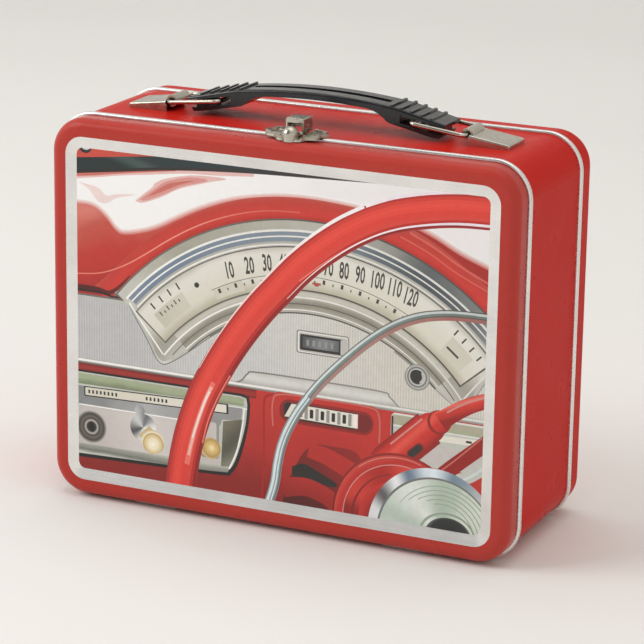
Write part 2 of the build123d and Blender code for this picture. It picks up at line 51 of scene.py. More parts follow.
# ---------------------------------------------------------------- material helpers
class Graph:
    """A small wrapper round one material's node tree."""

    def __init__(self, name):
        self.mat = bpy.data.materials.new(name)
        self.mat.use_nodes = True
        self.tree = self.mat.node_tree
        self.bsdf = self.tree.nodes["Principled BSDF"]
        self.coord = None

    def add(self, kind, **settings):
        node = self.tree.nodes.new(kind)
        for key, value in settings.items():
            setattr(node, key, value)
        return node

    def link(self, a, b):
        self.tree.links.new(a, b)

    def put(self, socket, value):
        """Links an output, or sets a plain value."""
        if hasattr(value, "is_linked"):
            self.link(value, socket)
        else:
            socket.default_value = value

    def position(self):
        """Object coordinates, in metres."""
        if self.coord is None:
            self.coord = self.add("ShaderNodeTexCoord").outputs["Object"]
        return self.coord

    def mapped(self, scale, location=(0, 0, 0)):
        """Object coordinates, scaled and then moved."""
        node = self.add("ShaderNodeMapping")
        node.inputs["Scale"].default_value = scale
        node.inputs["Location"].default_value = location
        self.link(self.position(), node.inputs["Vector"])
        return node.outputs["Vector"]

    def noise(self, scale, detail, roughness=0.55, vector=None):
        node = self.add("ShaderNodeTexNoise")
        node.inputs["Scale"].default_value = scale
        node.inputs["Detail"].default_value = detail
        node.inputs["Roughness"].default_value = roughness
        self.link(vector or self.position(), node.inputs["Vector"])
        return node.outputs["Fac"]

    def math(self, operation, a, b=0.0, c=None):
        node = self.add("ShaderNodeMath", operation=operation)
        self.put(node.inputs[0], a)
        self.put(node.inputs[1], b)
        if c is not None:
            self.put(node.inputs[2], c)
        return node.outputs[0]

    def spread(self, value, low, high, out_low=0.0, out_high=1.0):
        """The range low to high stretched over out_low to out_high, and clamped there."""
        node = self.add("ShaderNodeMapRange")
        self.put(node.inputs["Value"], value)
        node.inputs["From Min"].default_value = low
        node.inputs["From Max"].default_value = high
        node.inputs["To Min"].default_value = out_low
        node.inputs["To Max"].default_value = out_high
        return node.outputs["Result"]

    def ramp(self, value, stops):
        """An eased colour ramp; stops is a list of (place, (r, g, b)) in rising order."""
        node = self.add("ShaderNodeValToRGB")
        ramp = node.color_ramp
        ramp.interpolation = "EASE"
        while len(ramp.elements) < len(stops):
            ramp.elements.new(0.5)
        for element, (place, _) in zip(ramp.elements, stops):
            element.position = place
        for element, (_, colour) in zip(ramp.elements, stops):
            element.color = (*colour, 1.0)
        self.link(value, node.inputs["Fac"])
        return node.outputs["Color"]

    def mix(self, factor, a, b, blend="MIX"):
        """Two colours, each an output or an (r, g, b)."""
        node = self.add("ShaderNodeMix", data_type="RGBA", blend_type=blend)
        self.put(node.inputs[0], factor)
        for socket, value in ((node.inputs[6], a), (node.inputs[7], b)):
            if isinstance(value, tuple):
                value = (*value, 1.0)
            self.put(socket, value)
        return node.outputs[2]

    def grey(self, value):
        """A number as a grey colour."""
        node = self.add("ShaderNodeCombineColor")
        for socket in node.inputs[:3]:
            self.link(value, socket)
        return node.outputs[0]

    def bump(self, height, strength, distance):
        node = self.add("ShaderNodeBump")
        node.inputs["Strength"].default_value = strength
        node.inputs["Distance"].default_value = distance
        self.link(height, node.inputs["Height"])
        return node.outputs["Normal"]

    def split(self, vector):
        """The x, y and z of a vector."""
        node = self.add("ShaderNodeSeparateXYZ")
        self.link(vector, node.inputs[0])
        return node.outputs[0], node.outputs[1], node.outputs[2]

    def base(self, value):
        self.put(self.bsdf.inputs["Base Color"], value)

    def roughness(self, value):
        self.put(self.bsdf.inputs["Roughness"], value)

    def normal(self, value):
        self.link(value, self.bsdf.inputs["Normal"])


def red_enamel(name, low, high, gloss):
    """Satin red enamel, slightly mottled, with a faint orange peel. gloss is its specular level."""
    g = Graph(name)
    cloud = g.noise(14.0, 4.0)
    fine = g.noise(260.0, 2.0)
    colour = g.mix(g.spread(cloud, *MIDDLE), low, high)
    colour = g.mix(g.spread(fine, 0.35, 0.75, 0.0, 0.2), colour, tuple(1.12 * c for c in high))
    g.base(colour)
    g.roughness(g.spread(g.noise(60.0, 4.0), *MIDDLE, 0.26, 0.34))
    g.bsdf.inputs["Specular IOR Level"].default_value = gloss
    g.normal(g.bump(g.noise(160.0, 1.0), 0.04, 0.0001))
    return g.mat


def bare_tin(name, tone, shine=0.0):
    """Bare tin plate: fine grain drawn along x and soft stains; shine takes that much off the roughness."""
    g = Graph(name)
    grain = g.noise(1.0, 4.0, 0.6, vector=g.mapped(scale=(18.0, 900.0, 900.0)))
    stain = g.noise(38.0, 5.0, 0.6)
    dark = tuple(c * 0.82 for c in tone)
    colour = g.mix(g.spread(stain, 0.35, 0.72), tone, dark)
    light = tuple(min(1.0, c * 1.12) for c in tone)
    colour = g.mix(g.spread(grain, 0.35, 0.8, 0.0, 0.35), colour, light)
    g.base(colour)
    g.bsdf.inputs["Metallic"].default_value = 1.0
    g.roughness(g.spread(grain, *MIDDLE, 0.30 - shine, 0.42 - shine))
    g.normal(g.bump(grain, 0.12, 0.0001))
    return g.mat


def nickel():
    """Nickel plate, slightly warm and cloudy, with darker rubbed spots."""
    g = Graph("nickel")
    spots = g.noise(260.0, 4.0, 0.6)
    cloud = g.noise(60.0, 3.0)
    colour = g.mix(g.spread(cloud, *MIDDLE), (0.58, 0.55, 0.475), (0.44, 0.415, 0.35))
    colour = g.mix(g.spread(spots, 0.60, 0.80, 0.0, 0.45), colour, (0.30, 0.275, 0.23))
    g.base(colour)
    g.bsdf.inputs["Metallic"].default_value = 1.0
    g.roughness(g.spread(spots, *MIDDLE, 0.20, 0.30))
    g.normal(g.bump(cloud, 0.10, 0.0004))
    return g.mat


def black_plastic():
    """Glossy black moulded plastic with a fine pebble, rubbed duller in places."""
    g = Graph("black_plastic")
    pebble = g.noise(1500.0, 2.0)
    cloud = g.noise(90.0, 4.0)
    g.base(g.mix(g.spread(cloud, *MIDDLE), (0.007, 0.008, 0.010), (0.016, 0.017, 0.020)))
    g.roughness(g.spread(cloud, *MIDDLE, 0.10, 0.22))
    g.bsdf.inputs["Specular IOR Level"].default_value = 0.45
    g.normal(g.bump(pebble, 0.15, 0.0001))
    return g.mat


def assign(node, material):
    """Gives a CAD node one material on every slot."""
    mesh = nodes[node].data
    if not mesh.materials:
        mesh.materials.append(material)
    for index in range(len(mesh.materials)):
        mesh.materials[index] = material


RED = red_enamel("red_enamel", (0.510, 0.013, 0.008), (0.535, 0.016, 0.010), 0.03)
# the lid's enamel is the band's red with a painted sheen: its base is pinker to stand in for the light on its
# front face
RED_LID_PAINTED_SHEEN = red_enamel("red_enamel_lid_painted_sheen", (0.445, 0.044, 0.034), (0.470, 0.050, 0.039), 0.15)
TIN = bare_tin("bare_tin", (0.80, 0.79, 0.765))
TIN_BORDER = bare_tin("bare_tin_border", (0.80, 0.79, 0.775), shine=0.13)
TIN_BEAD = bare_tin("bare_tin_bead", (0.82, 0.81, 0.79), shine=0.08)
NICKEL = nickel()
BLACK = black_plastic()
for name in ("body_band", "back_shell"):
    assign(name, RED)
assign("front_shell", RED_LID_PAINTED_SHEEN)
assign("panel_border", TIN_BORDER)
for name in ("front_rim_bead", "back_rim_bead"):
    assign(name, TIN_BEAD)
for side in ("left", "right"):
    for name in (f"hinge_{side}_fixed_leaf", f"hinge_{side}_lid_leaf"):
        assign(name, TIN)
    for name in (f"hinge_{side}_pin", f"handle_clip_{side}", f"wire_link_{side}"):
        assign(name, NICKEL)
for name in ("latch_base", "latch_pin", "latch_hood", "keeper_plate", "keeper_dome"):
    assign(name, NICKEL)
assign("handle_grip", BLACK)


# ---------------------------------------------------------------- printed picture
# A dashboard drawn after the one on the box, without its words, in millimetres about the panel's centre.
panel_low, panel_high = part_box("picture_panel")
PANEL_W = (panel_high[0] - panel_low[0]) / MM
PANEL_H = (panel_high[2] - panel_low[2]) / MM
PANEL_X = (panel_high[0] + panel_low[0]) / 2 / MM
PANEL_Z = (panel_high[2] + panel_low[2]) / 2 / MM
PANEL_R = 3.0
RIB_PITCH = 1.15
STRIP_OVERLAP = 0.02
SLIVER = 0.002  # square millimetres: the font's triangles below this are degenerate


def srgb(red, green, blue):
    """An 8-bit display colour as a linear one."""
    shares = (red / 255, green / 255, blue / 255)
    return tuple(((c + 0.055) / 1.055) ** 2.4 if c > 0.04 else c / 12.92 for c in shares)


def ink(name, stops, way="line", start=(0, 0), end=(0, 1), radii=(0, 1), grain=0.05, ribs=0.0, wobble=0.0):
    """Printing ink whose colour runs along a "line", "out" from a centre, or "round" it.

    start is the line's first point or the centre, end its last point, and radii the inner and outer radius.
    stops are (place, (r, g, b)) in display colours. grain is the strength of the mottling, ribs that of fine
    upright ribbing, and wobble bends the run.
    """
    g = Graph("ink_" + name)
    flat = g.mapped(scale=(1 / MM, 1 / MM, 1 / MM), location=(-PANEL_X, 0, -PANEL_Z))
    x, _, z = g.split(flat)
    if way == "line":
        run = (end[0] - start[0], end[1] - start[1])
        length = run[0] ** 2 + run[1] ** 2
        along = g.math("MULTIPLY", g.math("SUBTRACT", x, start[0]), run[0] / length)
        value = g.math("MULTIPLY_ADD", g.math("SUBTRACT", z, start[1]), run[1] / length, along)
    else:
        dx = g.math("SUBTRACT", x, start[0])
        dz = g.math("SUBTRACT", z, start[1])
        if way == "out":
            far = g.math("SQRT", g.math("MULTIPLY_ADD", dz, dz, g.math("MULTIPLY", dx, dx)))
            value = g.spread(far, radii[0], radii[1])
        else:
            angle = g.math("ARCTAN2", dz, dx)
            value = g.math("FRACT", g.math("MULTIPLY", angle, 1 / (2 * math.pi)))
    if wobble:
        value = g.math("MULTIPLY_ADD", g.math("SUBTRACT", g.noise(38.0, 2.0), 0.5), wobble, value)
    colour = g.ramp(value, [(place, srgb(*tone)) for place, tone in stops])
    mottle = g.spread(g.noise(420.0, 4.0, 0.65), *MIDDLE, 1.0 - grain, 1.0 + grain)
    colour = g.mix(1.0, colour, g.grey(mottle), "MULTIPLY")
    if ribs:
        wave = g.math("SINE", g.math("MULTIPLY", x, 2 * math.pi / RIB_PITCH))
        colour = g.mix(1.0, colour, g.grey(g.spread(wave, -1, 1, 1.0 - ribs, 1.0 + ribs)), "MULTIPLY")
    g.base(colour)
    g.roughness(g.spread(g.noise(55.0, 3.0), *MIDDLE, 0.30, 0.38))
    return g.mat


def area(points):
    """A polygon's area, positive when it runs anticlockwise."""
    return sum(a[0] * b[1] - b[0] * a[1] for a, b in zip(points, points[1:] + points[:1])) / 2


def circle_points(cx, cz, r, a0=0.0, a1=360.0, squash=1.0):
    """A circle or arc from a0 to a1 degrees, finer as it gets bigger, flattened by squash."""
    count = max(8, int(abs(a1 - a0) / 360 * (24 + 2.2 * r)))
    full = abs(a1 - a0) >= 360
    steps = count if full else count + 1
    points = []
    for i in range(steps):
        angle = math.radians(a0 + (a1 - a0) * i / count)
        points.append((cx + r * math.cos(angle), cz + r * squash * math.sin(angle)))
    return points


def sector(cx, cz, r0, r1, a0, a1):
    """A piece of a ring between two radii and two angles."""
    return circle_points(cx, cz, r1, a0, a1) + circle_points(cx, cz, r0, a1, a0)


def slab(cx, cz, w, h, r, turn=0.0):
    """A rounded rectangle, turned by degrees."""
    points = []
    for sx, sz, a0 in ((1, 1, 0), (-1, 1, 90), (-1, -1, 180), (1, -1, 270)):
        for px, pz in circle_points(sx * (w / 2 - r), sz * (h / 2 - r), r, a0, a0 + 90):
            points.append((px, pz))
    c, s = math.cos(math.radians(turn)), math.sin(math.radians(turn))
    return [(cx + c * px - s * pz, cz + s * px + c * pz) for px, pz in points]


def smooth(points, per=10):
    """A smooth open curve through given points, with per steps between two of them."""
    out = []
    for i in range(len(points) - 1):
        p0 = Vector(points[max(i - 1, 0)])
        p1, p2 = Vector(points[i]), Vector(points[i + 1])
        p3 = Vector(points[min(i + 2, len(points) - 1)])
        for k in range(per):
            t = k / per
            out.append(tuple(0.5 * (2 * p1 + (p2 - p0) * t + (2 * p0 - 5 * p1 + 4 * p2 - p3) * t * t
                                    + (3 * p1 - p0 - 3 * p2 + p3) * t ** 3)))
    out.append(tuple(points[-1]))
    return out


def ribbon(points, left, right, per=10):
    """A band along a smooth curve, between an offset on its left and one on its right."""
    # an offset may be a pair: its value at the start and at the end
    line = [Vector(p) for p in smooth(points, per)]
    one, two = [], []
    for i, p in enumerate(line):
        run = line[min(i + 1, len(line) - 1)] - line[max(i - 1, 0)]
        side = Vector((-run.y, run.x)).normalized()
        t = i / (len(line) - 1)
        a = left if not isinstance(left, tuple) else left[0] + (left[1] - left[0]) * t
        b = right if not isinstance(right, tuple) else right[0] + (right[1] - right[0]) * t
        one.append(tuple(p + side * a))
        two.append(tuple(p - side * b))
    return one + two[::-1]


def digits(text, cx, cz, turn):
    """The triangles of a number in Blender's own font, centred, narrowed and turned by degrees."""
    height, narrow, boldness = 7.1, 0.44, 0.022
    curve = bpy.data.curves.new("digits", "FONT")
    curve.body = text
    curve.align_x = "CENTER"
    curve.resolution_u = 2
    curve.offset = boldness
    holder = bpy.data.objects.new("digits", curve)
    mesh = holder.to_mesh()
    low = min(v.co.y for v in mesh.vertices)
    scale = height / (max(v.co.y for v in mesh.vertices) - low)
    c, s = math.cos(math.radians(turn)), math.sin(math.radians(turn))
    faces = []
    for polygon in mesh.polygons:
        points = []
        for index in polygon.vertices:
            px = mesh.vertices[index].co.x * scale * narrow
            pz = (mesh.vertices[index].co.y - low) * scale - height / 2
            points.append((cx + c * px - s * pz, cz + s * px + c * pz))
        if abs(area(points)) > SLIVER:
            faces.append(points)
    holder.to_mesh_clear()
    bpy.data.objects.remove(holder)
    bpy.data.curves.remove(curve)
    return faces


art = []


def paint(material, *shapes):
    """Lays shapes over everything painted before."""
    for shape in shapes:
        art.append((material, shape))


def strips(points, edge, width, inks):
    """Side-by-side strips along a curve, from an offset on its left towards its right."""
    step = width / len(inks)
    for index, material in enumerate(inks):
        left = edge - index * step
        paint(material, ribbon(points, left, step - left + STRIP_OVERLAP))


def arc(r0, r1, a0, a1):
    """A piece of a ring about the dial's centre."""
    return sector(*DIAL, r0, r1, a0, a1)


def band(r0, r1, end_0, end_1):
    """A ring band of the dial, the same at both ends; its end angles differ inside and outside."""
    return circle_points(*DIAL, r1, 180 - end_1, end_1) + circle_points(*DIAL, r0, end_0, 180 - end_0)


def blend(name, tones, steps):
    """Inks stepping evenly through a row of display colours."""
    inks = []
    for index in range(steps):
        place = index / (steps - 1) * (len(tones) - 1)
        k = min(int(place), len(tones) - 2)
        tone = tuple(a + (b - a) * (place - k) for a, b in zip(tones[k], tones[k + 1]))
        dim = tuple(0.95 * c for c in tone)
        stops = [(0.0, tone), (1.0, dim)]
        inks.append(ink(f"{name}_{index}", stops, start=(-60, 60), end=(60, -60), grain=0.03))
    return inks


# the drawing runs BLEED past the panel's edge
BLEED = 6
WIDE = PANEL_W / 2 + BLEED
TALL = PANEL_H / 2 + BLEED
# centres that several shapes share
DIAL = (15, -62)
COLLAR = (54.0, -67.6)

# inks
WHITE_GLARE = ink("glare", [(0.0, (250, 249, 249)), (1.0, (240, 236, 238))], start=(-60, 60), end=(80, 40),
                  grain=0.01, wobble=0.5)
RED_TOP = ink("red_top", [(0.0, (216, 122, 110)), (0.3, (196, 78, 66)), (0.6, (192, 48, 40)),
                          (1.0, (170, 38, 32))], start=(-80, 44), end=(-70, 10), wobble=0.3)
RED_LIP = ink("red_lip", [(0.0, (168, 34, 28)), (0.35, (206, 56, 46)), (0.7, (196, 58, 48)),
                          (1.0, (188, 84, 72))], way="out", start=DIAL, radii=(110, 121), wobble=0.2)
RED_DEEP = ink("red_deep", [(0.0, (140, 30, 27)), (0.5, (182, 44, 38)), (1.0, (196, 50, 43))],
               start=(0, -67), end=(10, -22), wobble=0.6)
RED_SHADE = ink("red_shade", [(0.0, (82, 24, 22)), (1.0, (146, 36, 32))], start=(8, -64), end=(30, -36),
                wobble=0.8)
RED_STRIP = ink("red_strip", [(0.0, (120, 32, 30)), (0.5, (160, 44, 38)), (1.0, (120, 30, 28))],
                start=(0, -26), end=(0, -22), wobble=0.3)
TEAL = ink("teal", [(0.0, (26, 40, 42)), (0.5, (64, 82, 80)), (1.0, (36, 52, 54))], start=(-60, 59),
           end=(-58, 66))
COWL = ink("cowl", [(0.0, (206, 74, 60)), (1.0, (196, 78, 66))], start=(-88, 60), end=(-50, 67), wobble=0.5)
CHROME_OUTER = ink("chrome_outer", [(0.0, (206, 206, 200)), (0.10, (196, 194, 186)), (0.17, (96, 102, 104)),
                                    (0.24, (186, 184, 174)), (0.33, (168, 166, 152)),
                                    (0.40, (206, 206, 198)), (1.0, (200, 200, 194))], way="round",
                   start=DIAL, wobble=0.06)
CHROME_BLUE = ink("chrome_blue", [(0.0, (150, 156, 160)), (0.10, (150, 154, 156)), (0.17, (78, 86, 92)),
                                  (0.26, (132, 144, 156)), (0.36, (118, 134, 154)), (0.42, (150, 158, 164)),
                                  (1.0, (150, 156, 160))], way="round", start=DIAL, wobble=0.05)
BEZEL = ink("bezel", [(0.0, (206, 204, 196)), (0.35, (164, 161, 150)), (0.7, (216, 214, 206)),
                      (1.0, (176, 174, 166))], way="out", start=DIAL, radii=(73, 104), wobble=0.12)
BEZEL_LOW = ink("bezel_low", [(0.0, (186, 183, 172)), (0.4, (146, 142, 128)), (0.75, (202, 199, 188)),
                              (1.0, (158, 154, 142))], way="out", start=DIAL, radii=(73.6, 84), wobble=0.25)
BEZEL_LINE = ink("bezel_line", [(0.0, (246, 245, 242)), (1.0, (224, 223, 218))], start=(-60, 0), end=(60, 40))
BEZEL_SHADE = ink("bezel_shade", [(0.0, (112, 108, 100)), (1.0, (84, 82, 78))], start=(-60, 0),
                  end=(60, 40), wobble=0.5)
DIAL_FACE = ink("dial", [(0.0, (190, 184, 164)), (0.3, (222, 219, 206)), (0.8, (228, 226, 217)),
                         (1.0, (196, 192, 180))], way="out", start=DIAL, radii=(83, 101), grain=0.02,
                wobble=0.25)
DIAL_INSET = ink("dial_inset", [(0.0, (196, 191, 174)), (1.0, (212, 208, 194))], start=(-60, -6),
                 end=(-40, 16), grain=0.02)
DIAL_MARK = ink("dial_mark", [(0.0, (52, 50, 46)), (1.0, (78, 75, 68))], start=(-60, 0), end=(60, 40))
DIAL_RED = ink("dial_red", [(0.0, (190, 90, 82)), (1.0, (170, 70, 64))], start=(0, 20), end=(30, 30))
PINSTRIPE = ink("pinstripe", [(0.0, (190, 190, 192)), (0.4, (204, 204, 203)), (0.6, (210, 209, 205)),
                              (1.0, (210, 206, 197))], start=(-70, -20), end=(60, 8), ribs=0.10, wobble=0.5)
SILVER = ink("silver", [(0.0, (176, 175, 170)), (0.5, (218, 218, 214)), (1.0, (192, 191, 186))],
             start=(0, -21), end=(0, -14), wobble=0.3)
SILVER_LINE = ink("silver_line", [(0.0, (112, 110, 106)), (1.0, (150, 148, 142))], start=(-60, -20),
                  end=(60, 0))
WINDOW = ink("window", [(0.0, (70, 74, 78)), (0.5, (128, 134, 136)), (1.0, (52, 56, 60))], start=(10, 3),
             end=(32, -3), wobble=0.5)
PALE = ink("pale", [(0.0, (196, 190, 186)), (0.45, (214, 208, 205)), (1.0, (200, 194, 190))],
           start=(-88, -56), end=(-20, -38), grain=0.03, wobble=0.5)
PALE_SHADE = ink("pale_shade", [(0.0, (136, 138, 140)), (0.5, (176, 178, 178)), (1.0, (150, 150, 150))],
                 start=(-88, -38), end=(-20, -36), wobble=0.8)
CHROME_ROW = ink("chrome_row", [(0.0, (206, 208, 200)), (0.35, (120, 124, 116)), (0.6, (150, 152, 142)),
                                (1.0, (196, 198, 190))], start=(0, -61), end=(0, -55.5), wobble=0.5)
OLIVE = ink("olive", [(0.0, (120, 116, 96)), (0.5, (86, 86, 74)), (1.0, (146, 144, 128))], start=(-24, -40),
            end=(-12, -52), wobble=0.6)
GREEN = ink("green", [(0.0, (126, 136, 108)), (0.5, (164, 176, 144)), (1.0, (176, 172, 150))],
            start=(0, -31), end=(0, -25), wobble=0.7)
CREAM = ink("cream", [(0.0, (218, 214, 198)), (1.0, (230, 226, 214))], start=(-88, -34), end=(-20, -33),
            grain=0.02)
KNOB_CREAM = ink("knob_cream", [(0.0, (255, 252, 236)), (0.3, (246, 236, 204)), (0.62, (222, 200, 150)),
                                (0.72, (196, 168, 112)), (0.82, (240, 230, 202)), (1.0, (206, 186, 140))],
                 way="out", start=(-54.0, -52.0), radii=(0, 6.2))
KNOB_CREAM_B = ink("knob_cream_b", [(0.0, (246, 226, 172)), (0.5, (216, 184, 116)), (0.75, (186, 154, 92)),
                                    (1.0, (214, 190, 136))], way="out", start=(-27.6, -49.4),
                   radii=(0, 4.8))
KNOB_BASE = ink("knob_base", [(0.0, (236, 236, 236)), (0.2, (118, 120, 122)), (0.36, (206, 208, 208)),
                              (0.55, (84, 86, 88)), (0.7, (216, 218, 218)), (1.0, (236, 236, 236))],
                way="round", start=(-58.6, -45.6), wobble=0.2)
LOCK = ink("lock", [(0.0, (22, 22, 22)), (0.26, (46, 44, 42)), (0.38, (176, 172, 164)), (0.5, (70, 66, 62)),
                    (0.62, (104, 98, 90)), (0.8, (72, 68, 64)), (0.93, (150, 146, 138)),
                    (1.0, (206, 202, 196))], way="out", start=(-82.4, -48.8), radii=(0, 7.0), wobble=0.15)
BLACK_INK = ink("black", [(0.0, (26, 24, 24)), (1.0, (54, 50, 48))], start=(-60, -60), end=(60, 20),
                wobble=0.5)
KNOB_DARK = ink("knob_dark", [(0.0, (30, 32, 32)), (0.4, (58, 62, 60)), (0.52, (206, 208, 204)),
                              (0.66, (110, 112, 110)), (0.85, (190, 190, 186)), (1.0, (76, 74, 72))],
                way="out", start=(60.5, -7), radii=(1.0, 5.2))
EDGE_WHITE = ink("edge_white", [(0.0, (250, 226, 224)), (0.5, (252, 247, 248)), (1.0, (240, 226, 236))],
                 start=(-10, 10), end=(70, 60))
EDGE_PINK = ink("edge_pink", [(0.0, (228, 120, 104)), (0.5, (236, 150, 134)), (1.0, (214, 96, 84))],
                start=(-88, 15), end=(0, 52))
RING_WHITE = ink("ring_white", [(0.0, (226, 236, 240)), (1.0, (198, 206, 204))], start=(0, -60),
                 end=(88, 20), wobble=0.6)
RING_TEAL = ink("ring_teal", [(0.0, (146, 166, 172)), (0.5, (126, 142, 140)), (1.0, (112, 124, 118))],
                start=(0, -60), end=(88, 20), wobble=0.6)
RING_DARK = ink("ring_dark", [(0.0, (96, 112, 118)), (0.5, (118, 118, 112)), (1.0, (92, 88, 82))],
                start=(0, -60), end=(88, 20), wobble=0.5)
RING_RED = ink("ring_red", [(0.0, (156, 140, 140)), (0.5, (170, 130, 124)), (1.0, (160, 104, 98))],
               start=(0, -60), end=(88, 20), wobble=0.6)
COLLAR_RED = ink("collar", [(0.0, (140, 30, 26)), (0.35, (196, 48, 40)), (0.6, (214, 76, 64)),
                            (0.8, (190, 44, 38)), (1.0, (206, 70, 58))], way="out", start=(56, -70),
                 radii=(14, 31), wobble=0.25)
COLLAR_ROUND = ink("collar_round", [(0.0, (176, 36, 30)), (0.22, (214, 68, 56)), (0.32, (176, 36, 30)),
                                    (0.42, (208, 60, 50)), (0.5, (140, 28, 26)), (1.0, (150, 30, 26))],
                   way="round", start=(54, -68), wobble=0.08)
STALK = ink("stalk", [(0.0, (150, 28, 24)), (0.35, (206, 48, 40)), (0.62, (226, 82, 68)),
                      (0.8, (204, 48, 40)), (1.0, (160, 34, 28))], start=(64.5, -37.5), end=(54.5, -27.5),
            wobble=0.15)
STALK_B = ink("stalk_b", [(0.0, (150, 28, 24)), (0.5, (206, 54, 44)), (0.75, (230, 110, 96)),
                          (1.0, (176, 38, 32))], start=(81, -20), end=(78, -13), wobble=0.2)
HUB = ink("hub", [(0.0, (196, 206, 192)), (0.12, (214, 222, 210)), (0.24, (176, 192, 176)),
                  (0.34, (226, 232, 226)), (0.44, (186, 202, 190)), (0.5, (206, 216, 206)),
                  (1.0, (196, 206, 192))], way="round", start=(71, -72), wobble=0.1)
HUB_RIM = ink("hub_rim", [(0.0, (214, 218, 220)), (0.1, (196, 200, 200)), (0.2, (120, 140, 158)),
                          (0.26, (226, 236, 244)), (0.32, (110, 130, 150)), (0.36, (236, 240, 242)),
                          (0.41, (96, 92, 96)), (0.46, (226, 230, 232)), (1.0, (206, 210, 212))],
              way="round", start=(69, -71), wobble=0.06)
HUB_RING = ink("hub_ring", [(0.0, (176, 192, 178)), (0.6, (150, 166, 150)), (1.0, (140, 152, 138))],
               start=(46, -60), end=(88, -56), wobble=0.4)
HUB_HOLE = ink("hub_hole", [(0.0, (18, 20, 20)), (0.7, (46, 48, 48)), (1.0, (110, 116, 112))],
               way="out", start=(75, -71), radii=(2, 11), wobble=0.3)
BLUSH = blend("blush", [(250, 248, 248), (232, 190, 186), (206, 112, 102)], 5)
TUBE = blend("wheel", [(190, 46, 40), (222, 62, 50), (238, 74, 60), (240, 76, 62), (234, 66, 54),
                       (226, 58, 47), (232, 78, 64), (202, 44, 37), (150, 28, 25)], 10)
TUBE_LINE = ink("wheel_line", [(0.0, (150, 44, 44)), (1.0, (168, 60, 62))], start=(-30, -60), end=(60, 50),
                wobble=0.3)
SHINE = blend("shine", [(244, 120, 106), (252, 190, 180), (255, 236, 232)], 3)

# cowl, dark strip and the white glare with its pink patches
paint(WHITE_GLARE, slab(0, 40, 2 * WIDE, 70, 1))
paint(BLUSH[2], [(-WIDE, 60), *smooth([(-WIDE, 53.4), (-80, 55.6), (-70, 57.4), (-56, 59.4), (-40, 61.6),
                                       (-26, 62.4), (-10, 63.8)]), (-10, 66)])
paint(BLUSH[4], [(-WIDE, 60), *smooth([(-WIDE, 54.4), (-80, 56.4), (-70, 58.2), (-56, 60.4), (-44, 62.2)]),
                 (-44, 66)])
paint(COWL, [(-WIDE, 58), *smooth([(-WIDE, 60), (-60, 64), (-30, 69), (0, 76)]), (-WIDE, 76)])
paint(TEAL, ribbon([(-WIDE, 57.8), (-74, 60.6), (-45, 64.4), (-15, 66.6), (20, 67.8), (60, 69.4),
                    (WIDE, 71)], (4.4, 1.6), (1.6, 1.0)))
paint(BLACK_INK, ribbon([(-WIDE, 56.2), (-74, 59.0), (-45, 62.9), (-15, 65.3), (20, 66.8), (60, 68.4)], 0.7,
                        0.6))
paint(TEAL, circle_points(-84.4, 68.2, 3.2))
paint(PALE, circle_points(-84.2, 68.8, 2.5))
patch = smooth([(-88, 53), (-83, 50.5), (-79, 46.2), (-75, 45.6), (-70, 48.4), (-62, 50.6), (-70, 49.9),
                (-75, 48.8), (-79, 51.6), (-88, 53)])
paint(BLUSH[1], patch)
patch = smooth([(-62, 48.2), (-58.5, 47.8), (-50, 51.2), (-42, 55.4), (-30, 59.2), (-22, 61.6), (-36, 61.4),
                (-48, 58.8), (-53, 56.4), (-54.5, 54.4), (-58, 51.6), (-62, 48.2)])
paint(BLUSH[2], patch)
paint(BLUSH[3], smooth([(-60, 48.9), (-57, 48.9), (-49, 52.4), (-41, 56.4), (-30, 59.9), (-38, 60.4),
                        (-48, 57.6), (-52.6, 54.6), (-60, 48.9)]))
paint(BLUSH[4], smooth([(-57, 50.2), (-50, 53.2), (-43, 56.6), (-36, 59.2), (-46, 57.2), (-51, 54.6),
                        (-57, 50.2)]))

# red body of the dash, blending softly out of the glare
lobe = [(-WIDE, 44.0), (-84, 44.4), (-79, 43.0), (-74.5, 39.6), (-71.2, 36.0), (-67.5, 34.4), (-60, 35.8),
        (-52, 38.6), (-43, 43.4), (-34, 47.9), (-22, 52.6), (-10, 55.5), (4, 57.4), (20, 57.6), (38, 56.0),
        (56, 52.6), (66, 49.2), (78, 43.4), (WIDE, 37.6)]
strips(lobe, 2.0, 3.0, BLUSH)
paint(RED_TOP, [*smooth([(x, z - 0.8) for x, z in lobe]), (WIDE, -24), (-WIDE, -24)])
lip = [(-78, 8.5), (-72, 14), (-64, 22.0), (-54, 30.5), (-44, 37.6), (-34, 43.4), (-22, 48.6), (-10, 52.0),
       (4, 54.0), (20, 54.2), (38, 52.4), (56, 47.6), (70, 40.6), (82, 32.4), (WIDE, 24)]
paint(RED_LIP, ribbon(lip, 3.4, 5.5))
paint(EDGE_PINK, ribbon([(-WIDE, 14.6), (-79, 16.4), (-68, 20.6), (-58, 26.6), (-48, 33.4), (-38, 39.4),
                         (-28, 44.2), (-16, 48.4), (-4, 51.0), (10, 52.0)], 0.25, 0.3))
paint(EDGE_PINK, ribbon([(56, 49.5), (66, 45.0), (78, 38.4), (WIDE, 31)], 0.5, 0.4))
paint(EDGE_PINK, ribbon([(52, 47.6), (64, 42.6), (76, 36.0), (WIDE, 28)], 0.3, 0.3))
paint(RED_SHADE, ribbon([(-WIDE, 9.4), (-80, 9.6), (-74, 9.0), (-69, 12.5), (-64.6, 17.2)], (1.4, 0.2),
                        (1.6, 0.4)))
paint(BLACK_INK, ribbon([(-WIDE, 8.4), (-78, 8.5), (-70, 7.6), (-64, 14.8)], 0.4, 0.5))

